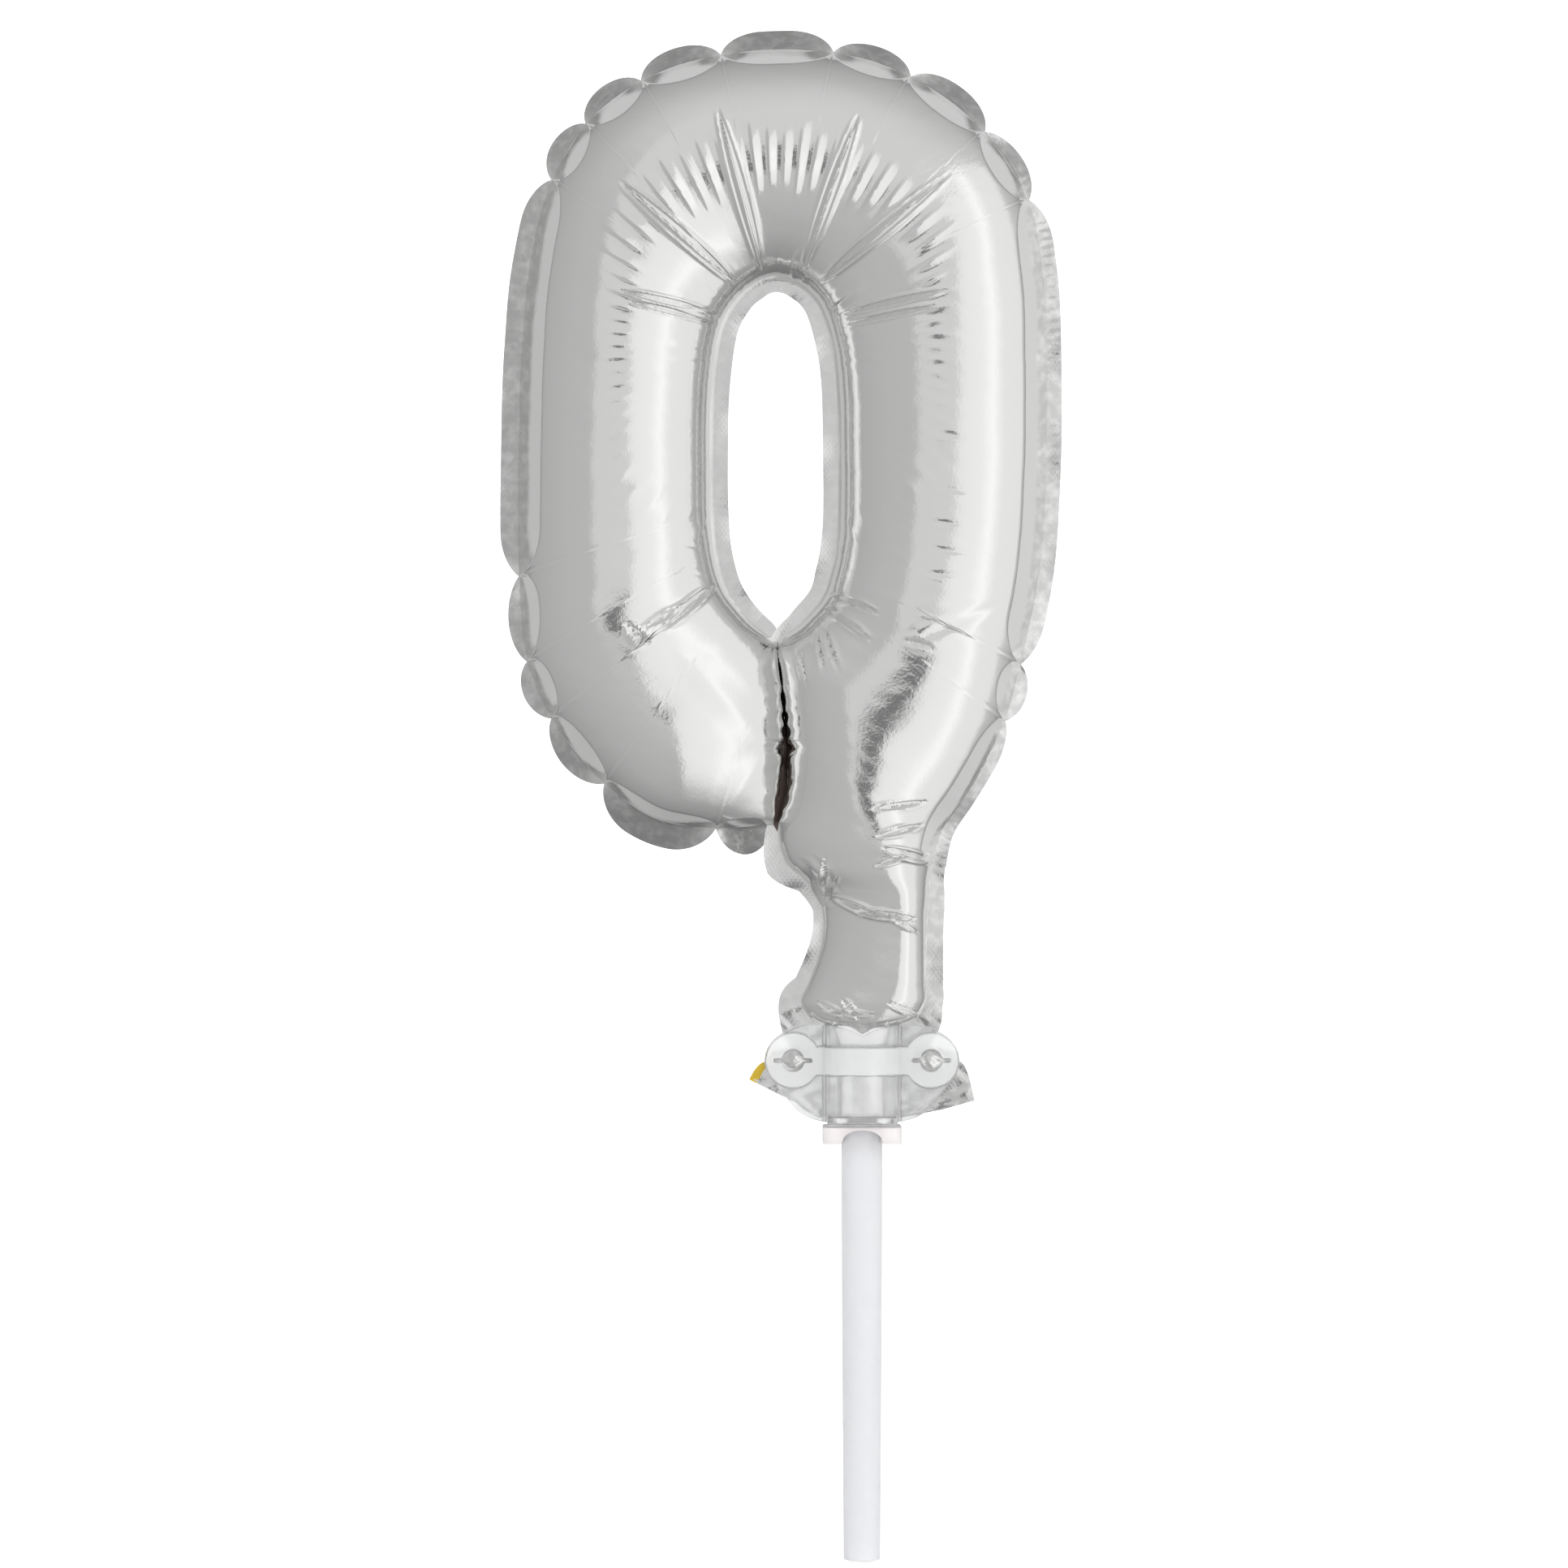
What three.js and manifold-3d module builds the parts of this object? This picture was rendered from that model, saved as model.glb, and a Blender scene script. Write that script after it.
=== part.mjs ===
// A ring-shaped foil balloon pick for cakes: two heat-sealed foil films with a film valve in the
// neck, held by a clear snap clip on a hollow plastic stick.
// Millimetres, +Z up, -Y is the front. The origin is the centre of the stick's lower end.
import * as THREE from "three";
import { mergeVertices } from "three/addons/utils/BufferGeometryUtils.js";
import Module from "manifold-3d";

const wasm = await Module();
wasm.setup();

// Driving dimensions
const FILM = 0.25; // wall of a foil film
const SEAM_GAP = 0.06; // from the middle plane to the inner face of each film
const SLIDE_GAP = 0.15; // clearance between layers that slide or touch

const STICK = { top: 65.2, taperTop: 50, footRadius: 2.25, radius: 2.55, wall: 0.45 };

const VALVE = { bottom: 56, top: 92, halfWidth: 3.6, wall: 0.2, bow: 2.85, openTo: 67, flatFrom: 84 };

// The balloon neck narrows to this channel between the clip's halves.
const CHANNEL = { halfWidth: 4.0, depth: 3.5 };

const CLIP = {
  bottom: 53.85,
  top: 65.9,
  dip: 64.6, // the notch between the two lobes
  lobeHalfWidth: 12,
  innerFace: 0.45,
  wall: 0.8,
  sideGap: 0.3,
};
CLIP.outerFace = CLIP.innerFace + CLIP.wall;
CLIP.bulgeWidth = CHANNEL.halfWidth + CLIP.sideGap + CLIP.wall;
CLIP.bulgeDepth = CHANNEL.depth + SLIDE_GAP + CLIP.wall;

const PAD_HEIGHT = 0.4; // how far the ring pads stand out of the plate
const RIB = { bottom: 59.8, top: 63.1, height: 0.25 }; // the raised rib between the pads

const HOLE = { x: 8.5, z: 61.5, radius: 1.4, slitHalfLength: 2.4, slitHeight: 0.5, padRadius: 3.3 };
const STUD = { radius: 0.8, reach: 1.45, filmHoleRadius: 1.05 };
const COLLAR = { halfWidth: 4.85, front: 4.8, back: 4.45, bottom: 51.3, top: 53.45, corner: 1.3 };
const ARCH = { halfWidth: 2.6, height: 1.8, back: -1.5 };
const FOOT = { width: 6, height: 0.8 }; // joins the back half's bulge to the collar
const LEDGE_HEIGHT = 0.8;
const HINGE = { y: -4.95, z: 53.65, radius: 0.13, gap: 0.02, halfLength: 4.3 };
const PAST = 1; // how far a cutting solid runs past the face it cuts

const RING_STEPS = 44; // sections round the balloon's ring
const NECK_STEPS = 18;
const ARC_STEPS = 8; // facets across half of a limb

// The ring's sections, clockwise from under the eye: the eye's seam point, the outer seam point
// and the half depth between them, where the depth dips at the buckle under the eye.
const RING = [
  { eye: [-10.5, 113.1], rim: [-10.2, 87.6], depth: 5.5 },
  { eye: [-13.4, 115.4], rim: [-20.5, 90.5], depth: 9.6 },
  { eye: [-16.7, 119.6], rim: [-33.5, 99.5], depth: 10.2 },
  { eye: [-18.1, 126.0], rim: [-40.4, 111.5], depth: 10.4 },
  { eye: [-18.2, 140.0], rim: [-42.2, 138.0], depth: 10.4 },
  { eye: [-17.6, 150.0], rim: [-40.6, 160.0], depth: 10.6 },
  { eye: [-15.0, 155.4], rim: [-30.5, 178.6], depth: 11.2 },
  { eye: [-10.7, 157.6], rim: [-10.7, 185.6], depth: 11.4 },
  { eye: [-6.2, 155.4], rim: [9.0, 179.2], depth: 11.2 },
  { eye: [-3.4, 150.0], rim: [20.4, 163.0], depth: 10.6 },
  { eye: [-2.7, 140.0], rim: [22.0, 138.0], depth: 10.4 },
  { eye: [-3.0, 126.0], rim: [21.4, 119.0], depth: 10.4 },
  { eye: [-4.8, 118.4], rim: [16.8, 101.0], depth: 10.0 },
  { eye: [-7.6, 115.0], rim: [4.0, 89.5], depth: 9.2 },
];

// The neck's sections from the ring down to the clip: height, left and right seam, half depth.
const NECK = [
  { z: 109.0, left: -9.5, right: 18.6, depth: 8.5 },
  { z: 100.0, left: -9.6, right: 16.2, depth: 9.0 },
  { z: 92.0, left: -9.4, right: 12.4, depth: 8.2 },
  { z: 85.0, left: -6.4, right: 8.8, depth: 6.6 },
  { z: 79.0, left: -4.9, right: 8.3, depth: 5.6 },
  { z: 73.0, left: -5.4, right: 8.0, depth: 4.8 },
  { z: 69.5, left: -5.4, right: 6.4, depth: 4.0 },
  { z: 67.2, left: -CHANNEL.halfWidth, right: CHANNEL.halfWidth, depth: CHANNEL.depth },
  { z: 61.0, left: -CHANNEL.halfWidth, right: CHANNEL.halfWidth, depth: CHANNEL.depth },
  { z: 54.0, left: -CHANNEL.halfWidth, right: CHANNEL.halfWidth, depth: CHANNEL.depth },
];

// The films' cut edge, clockwise from the right of the neck; the tail below it has straight sides.
const CUT_EDGE = [
  [10.2, 65.8], [10.3, 79.0], [11.2, 89.0], [16.2, 97.0], [19.4, 105.0], [22.8, 112.0],
  [24.1, 124.0], [24.2, 142.0], [24.2, 157.0], [21.6, 166.4], [17.0, 175.0], [10.2, 182.4],
  [1.2, 187.0], [-10.4, 188.8], [-22.0, 186.4], [-31.6, 181.4], [-38.0, 174.0], [-42.6, 166.0],
  [-44.4, 155.0], [-44.6, 140.0], [-44.0, 126.0], [-42.6, 114.6], [-39.6, 105.6], [-34.8, 97.2],
  [-28.0, 90.4], [-18.0, 87.0], [-11.2, 86.2], [-7.2, 83.4], [-5.9, 79.6], [-7.0, 73.4],
  [-10.4, 67.2],
];
const TAIL = [
  [-10.7, 63.6], [-13.9, 59.1], [-5.5, 54.6], [4.5, 54.3], [13.9, 56.5], [11.8, 61.2],
];
const EYE_EDGE = [
  [-10.7, 156.1], [-13.8, 153.6], [-15.7, 147.0], [-16.1, 136.0], [-16.1, 123.4], [-14.6, 119.0],
  [-10.2, 113.9], [-6.4, 118.0], [-4.9, 124.0], [-4.8, 136.0], [-5.4, 147.0], [-7.6, 153.6],
];

// Solids and geometry

function solidOf(geometry) {
  const bare = geometry.clone();
  bare.deleteAttribute("normal");
  bare.deleteAttribute("uv");
  const merged = mergeVertices(bare, 1e-4);
  return new wasm.Manifold(
    new wasm.Mesh({
      numProp: 3,
      vertProperties: merged.attributes.position.array,
      triVerts: new Uint32Array(merged.index.array),
    }),
  );
}

function geometryOf(solid) {
  const mesh = solid.getMesh();
  const geometry = new THREE.BufferGeometry();
  geometry.setAttribute("position", new THREE.BufferAttribute(mesh.vertProperties, 3));
  geometry.setIndex(new THREE.BufferAttribute(mesh.triVerts, 1));
  geometry.computeVertexNormals();
  return geometry;
}

function join(...geometries) {
  return geometries.map(solidOf).reduce((sum, solid) => sum.add(solid));
}

// A plate whose outline lies in the XZ plane, filling y from front to back.
function plate(shape, front, back, curveSegments = 10) {
  const options = { depth: back - front, bevelEnabled: false, curveSegments };
  return new THREE.ExtrudeGeometry(shape, options).rotateX(Math.PI / 2).translate(0, back, 0);
}

// A column whose outline lies in the XY plane, filling z from bottom to top.
function column(shape, bottom, top, curveSegments = 10) {
  const options = { depth: top - bottom, bevelEnabled: false, curveSegments };
  return new THREE.ExtrudeGeometry(shape, options).translate(0, 0, bottom);
}

// A round bar along Y at (x, z), filling y from front to back.
function crossBar(radius, x, z, front, back, segments = 24) {
  return new THREE.CylinderGeometry(radius, radius, back - front, segments).translate(
    x,
    (front + back) / 2,
    z,
  );
}

// A closed solid through sections of equal point count; an open run of sections gets end caps.
function loft(sections, closed) {
  const count = sections[0].length;
  const positions = sections.flat().flatMap((p) => [p.x, p.y, p.z]);
  const index = [];
  const spans = closed ? sections.length : sections.length - 1;
  for (let i = 0; i < spans; i++) {
    const here = i * count;
    const next = ((i + 1) % sections.length) * count;
    for (let j = 0; j < count; j++) {
      const k = (j + 1) % count;
      index.push(here + j, next + j, here + k, here + k, next + j, next + k);
    }
  }
  if (!closed) {
    const last = (sections.length - 1) * count;
    for (let j = 1; j < count - 1; j++) {
      index.push(0, j, j + 1);
      index.push(last, last + j + 1, last + j);
    }
  }
  const geometry = new THREE.BufferGeometry();
  geometry.setAttribute("position", new THREE.Float32BufferAttribute(positions, 3));
  geometry.setIndex(index);
  return facingOut(geometry);
}

// Turns every face round if the faces point inwards.
function facingOut(geometry) {
  if (solidOf(geometry).volume() > 0) return geometry;
  const index = geometry.index.array;
  for (let i = 0; i < index.length; i += 3) {
    [index[i + 1], index[i + 2]] = [index[i + 2], index[i + 1]];
  }
  return geometry;
}

function splineShape(points, closed, tail = []) {
  const curve = new THREE.CatmullRomCurve3(
    points.map(([x, z]) => new THREE.Vector3(x, z, 0)),
    closed,
    "centripetal",
  );
  const fine = curve.getPoints(points.length * 3).map((p) => new THREE.Vector2(p.x, p.y));
  if (closed) fine.pop();
  return new THREE.Shape([...fine, ...tail.map(([x, z]) => new THREE.Vector2(x, z))]);
}

// Balloon films

// Half of a lens across a limb, from seam a to seam b, bulging to the front by depth and
// running a little past the middle plane at the back.
function limbSection(a, b, depth, shrink) {
  const middle = a.clone().add(b).multiplyScalar(0.5);
  const half = b.clone().sub(a).multiplyScalar(0.5);
  const outwards = half.clone().normalize();
  const width = half.length() - shrink;
  const section = [];
  for (let i = 0; i <= ARC_STEPS; i++) {
    const angle = (Math.PI * i) / ARC_STEPS;
    const point = middle.clone().addScaledVector(outwards, -width * Math.cos(angle));
    const bulge = (depth - shrink) * Math.sin(angle);
    section.push(new THREE.Vector3(point.x, -SEAM_GAP - bulge, point.y));
  }
  const end = section[ARC_STEPS];
  section.push(new THREE.Vector3(end.x, PAST, end.z));
  section.push(new THREE.Vector3(section[0].x, PAST, section[0].z));
  return section;
}

// Smooth values between the rows of a table of numbers.
function blend(rows, steps, closed) {
  const width = rows[0].length;
  const curves = [];
  for (let c = 0; c < width; c += 3) {
    const points = rows.map((r) => new THREE.Vector3(r[c], r[c + 1] ?? 0, r[c + 2] ?? 0));
    curves.push(new THREE.CatmullRomCurve3(points, closed, "centripetal"));
  }
  const count = closed ? steps : steps + 1;
  return Array.from({ length: count }, (_, i) => {
    const t = i / steps;
    return curves.flatMap((curve) => curve.getPoint(t).toArray());
  });
}

function ringSolid(shrink) {
  const rows = RING.map(({ eye, rim, depth }) => [...eye, depth, ...rim, 0]);
  const sections = blend(rows, RING_STEPS, true).map(([ex, ez, depth, rx, rz]) =>
    limbSection(new THREE.Vector2(ex, ez), new THREE.Vector2(rx, rz), depth, shrink),
  );
  return solidOf(loft(sections, true));
}

function neckSolid(shrink) {
  const rows = NECK.map(({ z, left, right, depth }) => [left, right, depth, z, 0, 0]);
  const sections = blend(rows, NECK_STEPS, false).map(([left, right, depth, z]) =>
    limbSection(new THREE.Vector2(left, z), new THREE.Vector2(right, z), depth, shrink),
  );
  return solidOf(loft(sections, false));
}

// The front film: a hollow half of the balloon with its flat sealed edge. The back mirrors it.
function filmGeometry() {
  const edge = splineShape(CUT_EDGE, false, TAIL);
  edge.holes.push(splineShape(EYE_EDGE, true));
  const flange = solidOf(plate(edge, -SEAM_GAP - FILM, -SEAM_GAP));
  const outside = ringSolid(0).add(neckSolid(0)).trimByPlane([0, -1, 0], SEAM_GAP).add(flange);
  const inside = ringSolid(FILM).add(neckSolid(FILM));
  const studHoles = [-1, 1].map((side) =>
    solidOf(crossBar(STUD.filmHoleRadius, side * HOLE.x, HOLE.z, -CLIP.outerFace, PAST)),
  );
  return geometryOf(outside.subtract(inside).subtract(studHoles[0]).subtract(studHoles[1]));
}

// One film of the valve: a strip bowed round the stick at its foot and flat at its top.
function valveGeometry() {
  const across = 16;
  const levels = 8;
  const sections = Array.from({ length: levels + 1 }, (_, k) => {
    const z = VALVE.bottom + ((VALVE.top - VALVE.bottom) * k) / levels;
    const open = THREE.MathUtils.smoothstep(VALVE.flatFrom - z, 0, VALVE.flatFrom - VALVE.openTo);
    const face = (level) =>
      Array.from({ length: across + 1 }, (_, i) => {
        const share = (2 * i) / across - 1;
        const bow = VALVE.bow * open * Math.cos((Math.PI / 2) * share);
        return new THREE.Vector3(VALVE.halfWidth * share, -level - bow, z);
      });
    return [...face(SEAM_GAP + VALVE.wall), ...face(SEAM_GAP).reverse()];
  });
  return loft(sections, false);
}

// Clip

// The clip's outline: two lobes round the holes, a shallow dip between them, a flat foot.
function clipOutline() {
  const { bottom, top, dip, lobeHalfWidth } = CLIP;
  const shape = new THREE.Shape();
  shape.moveTo(-3.2, bottom);
  shape.quadraticCurveTo(-6.6, bottom + 0.1, -8.2, 55.5);
  shape.lineTo(-11.1, 59.0);
  shape.quadraticCurveTo(-lobeHalfWidth, 60.2, -lobeHalfWidth, HOLE.z);
  shape.bezierCurveTo(-11.9, 64.4, -8.6, top, -5.2, top);
  shape.quadraticCurveTo(-2.4, top, 0, dip);
  shape.quadraticCurveTo(2.4, top, 5.2, top);
  shape.bezierCurveTo(8.6, top, 11.9, 64.4, lobeHalfWidth, HOLE.z);
  shape.quadraticCurveTo(lobeHalfWidth, 60.2, 11.1, 59.0);
  shape.lineTo(8.2, 55.5);
  shape.quadraticCurveTo(6.6, bottom + 0.1, 3.2, bottom);
  return shape;
}

// The plate's wall seen from above: flat wings with a half-round bulge over the stick.
function clipWall(extra, halfSpan) {
  const face = (bulgeWidth, bulgeDepth, level) => {
    const points = [new THREE.Vector2(-halfSpan, level)];
    const steps = 16;
    for (let i = 0; i <= steps; i++) {
      const angle = (Math.PI * i) / steps;
      const depth = bulgeDepth * Math.sin(angle);
      if (depth > level) points.push(new THREE.Vector2(-bulgeWidth * Math.cos(angle), depth));
    }
    points.push(new THREE.Vector2(halfSpan, level));
    return points;
  };
  const inside = face(CLIP.bulgeWidth - CLIP.wall, CLIP.bulgeDepth - CLIP.wall, CLIP.innerFace);
  const outside = face(CLIP.bulgeWidth + extra, CLIP.bulgeDepth + extra, CLIP.outerFace + extra);
  return new THREE.Shape([...inside, ...outside.reverse()]);
}

// The half shared by the front and the back of the clip, bulging towards +Y.
function clipHalf() {
  const outline = solidOf(plate(clipOutline(), -PAST, CLIP.bulgeDepth + PAST));
  const wall = clipWall(0, CLIP.lobeHalfWidth + PAST);
  return outline.intersect(solidOf(column(wall, CLIP.bottom - PAST, CLIP.top + PAST)));
}

function eyeHole(x) {
  const reach = CLIP.outerFace + PAD_HEIGHT + PAST;
  const slit = new THREE.BoxGeometry(2 * HOLE.slitHalfLength, 2 * reach, HOLE.slitHeight);
  return join(crossBar(HOLE.radius, x, HOLE.z, -reach, reach, 20), slit.translate(x, 0, HOLE.z));
}

// The ledge fills the corner between the bulge and the hinge line.
function hingeLedge() {
  const face = -HINGE.y - HINGE.radius - HINGE.gap;
  const block = new THREE.BoxGeometry(2 * HINGE.halfLength, face - CLIP.innerFace, LEDGE_HEIGHT);
  block.translate(0, (face + CLIP.innerFace) / 2, CLIP.bottom + LEDGE_HEIGHT / 2);
  const hollow = new THREE.Shape();
  hollow.absellipse(0, 0, CLIP.bulgeWidth - CLIP.wall, CLIP.bulgeDepth - CLIP.wall, 0, 2 * Math.PI);
  return solidOf(block).subtract(solidOf(column(hollow, CLIP.bottom - PAST, CLIP.top, 32)));
}

// The front half with its ring pads, rib, snap holes and the ledge that carries the hinge.
function clipFrontGeometry() {
  const rib = solidOf(column(clipWall(RIB.height, HOLE.x), RIB.bottom, RIB.top));
  const padFace = CLIP.outerFace + PAD_HEIGHT;
  const pads = [-1, 1].map((side) =>
    solidOf(crossBar(HOLE.padRadius, side * HOLE.x, HOLE.z, CLIP.innerFace, padFace, 40)),
  );
  const solid = clipHalf().add(rib).add(pads[0]).add(pads[1]).add(hingeLedge());
  const bored = solid.subtract(eyeHole(-HOLE.x)).subtract(eyeHole(HOLE.x));
  return geometryOf(bored.mirror([0, 1, 0]));
}

// The collar seen from above: a rounded rectangle with the stick's bore.
function collarShape() {
  const { halfWidth, front, back, corner } = COLLAR;
  const shape = new THREE.Shape();
  shape.moveTo(-halfWidth + corner, -front);
  shape.lineTo(halfWidth - corner, -front);
  shape.absarc(halfWidth - corner, -front + corner, corner, -Math.PI / 2, 0);
  shape.absarc(halfWidth - corner, back - corner, corner, 0, Math.PI / 2);
  shape.absarc(-halfWidth + corner, back - corner, corner, Math.PI / 2, Math.PI);
  shape.absarc(-halfWidth + corner, -front + corner, corner, Math.PI, 1.5 * Math.PI);
  return shape;
}

function archShape() {
  const shape = new THREE.Shape();
  shape.moveTo(-ARCH.halfWidth, COLLAR.bottom - PAST);
  shape.lineTo(ARCH.halfWidth, COLLAR.bottom - PAST);
  shape.lineTo(ARCH.halfWidth, COLLAR.bottom);
  shape.absellipse(0, COLLAR.bottom, ARCH.halfWidth, ARCH.height, 0, Math.PI);
  return shape;
}

// The back half with its snap studs and the collar that the stick plugs into.
function clipBackGeometry() {
  const collar = solidOf(column(collarShape(), COLLAR.bottom, COLLAR.top, 6));
  const foot = new THREE.BoxGeometry(FOOT.width, CLIP.wall, FOOT.height);
  foot.translate(0, CLIP.bulgeDepth - CLIP.wall, COLLAR.top);
  const studRoot = (CLIP.innerFace + CLIP.outerFace) / 2;
  const studs = [-1, 1].map((side) =>
    solidOf(crossBar(STUD.radius, side * HOLE.x, HOLE.z, -STUD.reach, studRoot, 20)),
  );
  const boreRadius = STICK.radius + SLIDE_GAP;
  const boreHeight = 2 * (COLLAR.top - COLLAR.bottom + PAST);
  const bore = new THREE.CylinderGeometry(boreRadius, boreRadius, boreHeight, 40);
  bore.rotateX(Math.PI / 2).translate(0, 0, COLLAR.bottom);
  const arch = plate(archShape(), -COLLAR.front - PAST, ARCH.back);
  const solid = clipHalf().add(collar).add(solidOf(foot)).add(studs[0]).add(studs[1]);
  return geometryOf(solid.subtract(solidOf(bore)).subtract(solidOf(arch)));
}

function hingeGeometry() {
  const length = 2 * HINGE.halfLength;
  return new THREE.CylinderGeometry(HINGE.radius, HINGE.radius, length, 10).rotateZ(Math.PI / 2);
}

function stickGeometry() {
  const { top, taperTop, footRadius, radius, wall } = STICK;
  const profile = [
    [footRadius - wall, 0], [footRadius, 0], [radius, taperTop], [radius, top],
    [radius - wall, top], [radius - wall, taperTop], [footRadius - wall, 0],
  ];
  const points = profile.map(([r, z]) => new THREE.Vector2(r, z));
  return new THREE.LatheGeometry(points, 40).rotateX(Math.PI / 2);
}

// Assembly

function material(color, roughness, metalness, opacity = 1) {
  const transparent = opacity < 1;
  return new THREE.MeshStandardMaterial({ color, roughness, metalness, opacity, transparent });
}

const foil = material(0xc9cac8, 0.12, 1.0);
const valveFilm = material(0xe6e6e2, 0.3, 0.0, 0.5);
const clearPlastic = material(0xe9eaea, 0.25, 0.0, 0.55);
const frostedPlastic = material(0xf0f1f4, 0.45, 0.0, 0.8);

function part(name, geometry, finish) {
  const mesh = new THREE.Mesh(geometry, finish);
  mesh.name = name;
  return mesh;
}

const filmShape = filmGeometry();
const valveShape = valveGeometry();

const backFoil = part("back_foil", filmShape, foil);
backFoil.scale.y = -1;
const valveBack = part("valve_back_film", valveShape, valveFilm);
valveBack.scale.y = -1;
const hinge = part("living_hinge", hingeGeometry(), clearPlastic);
hinge.position.set(0, HINGE.y, HINGE.z);

const balloon = new THREE.Group();
balloon.add(part("front_foil", filmShape, foil), backFoil);
balloon.add(part("valve_front_film", valveShape, valveFilm), valveBack);

const clip = new THREE.Group();
clip.add(part("clip_back", clipBackGeometry(), clearPlastic), hinge);
clip.add(part("clip_front", clipFrontGeometry(), clearPlastic));

const pick = new THREE.Group();
pick.add(balloon, clip, part("stick", stickGeometry(), frostedPlastic));

export default pick;
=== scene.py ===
"""A small silver foil balloon on a stick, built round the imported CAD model.

The balloon is one long tube of film that runs from the closed end beside the slit, round the ring
and down the neck into the clip. Each film is a grid of sections across that tube, with the sealed
edge beside it. Front is -Y, and lengths in the tables are millimetres.
"""

import math

import bmesh
import bpy
import numpy as np
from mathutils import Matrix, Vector


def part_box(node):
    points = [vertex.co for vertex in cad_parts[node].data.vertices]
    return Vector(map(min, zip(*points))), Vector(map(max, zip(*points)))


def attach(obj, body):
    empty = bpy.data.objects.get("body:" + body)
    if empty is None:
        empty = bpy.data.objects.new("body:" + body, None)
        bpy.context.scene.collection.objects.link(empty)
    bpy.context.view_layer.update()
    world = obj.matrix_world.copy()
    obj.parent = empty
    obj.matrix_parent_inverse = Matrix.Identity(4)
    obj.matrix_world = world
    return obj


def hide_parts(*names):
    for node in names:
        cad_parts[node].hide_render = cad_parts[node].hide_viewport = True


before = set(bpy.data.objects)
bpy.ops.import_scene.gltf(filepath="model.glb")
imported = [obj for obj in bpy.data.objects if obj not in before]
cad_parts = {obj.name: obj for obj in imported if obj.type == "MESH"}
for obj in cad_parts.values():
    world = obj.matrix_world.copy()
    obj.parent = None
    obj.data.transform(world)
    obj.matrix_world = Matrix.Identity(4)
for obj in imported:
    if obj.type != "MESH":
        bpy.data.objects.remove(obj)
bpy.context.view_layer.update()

MM = 0.001

# --- Camera ----------------------------------------------------------------------------------

FRAME_WIDTH = 193.2 * MM  # how much of the middle plane the picture shows
CAMERA_DISTANCE = 800 * MM
CAMERA_X = -9.6 * MM
CAMERA_Z = 95.5 * MM


def make_camera():
    data = bpy.data.cameras.new("camera")
    data.sensor_width = 36
    data.lens = data.sensor_width * CAMERA_DISTANCE / FRAME_WIDTH
    data.clip_start, data.clip_end = 0.01, 20
    camera = bpy.data.objects.new("camera", data)
    camera.location = (CAMERA_X, -CAMERA_DISTANCE, CAMERA_Z)
    camera.rotation_euler = (math.pi / 2, 0, 0)
    bpy.context.scene.collection.objects.link(camera)
    bpy.context.scene.camera = camera


# --- The balloon's tube ----------------------------------------------------------------------

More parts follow.
